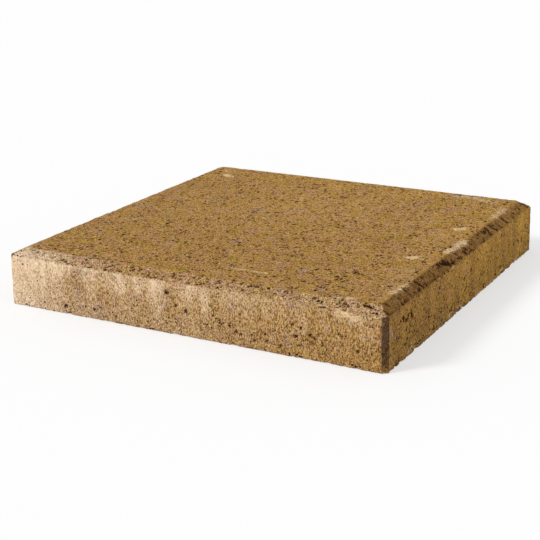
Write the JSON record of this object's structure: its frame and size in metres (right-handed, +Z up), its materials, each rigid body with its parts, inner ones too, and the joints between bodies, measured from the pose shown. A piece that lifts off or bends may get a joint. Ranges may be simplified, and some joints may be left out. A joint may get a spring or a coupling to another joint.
{
  "type": "concrete paving slab",
  "caption": "Square dry-cast concrete paving slab with bevelled upper edges, clipped corners and slightly tapered walls.",
  "frame": {"origin": "centre of the bed face, the flat underside that the slab rests on", "axes": "+Z up out of the wearing face, +X and +Y square to two neighbouring walls"},
  "size_m": [0.4, 0.4, 0.0565],
  "materials": {
    "concrete": "matte"
  },
  "bodies": {
    "root": {"paving_slab": "concrete"}
  },
  "joints": []
}
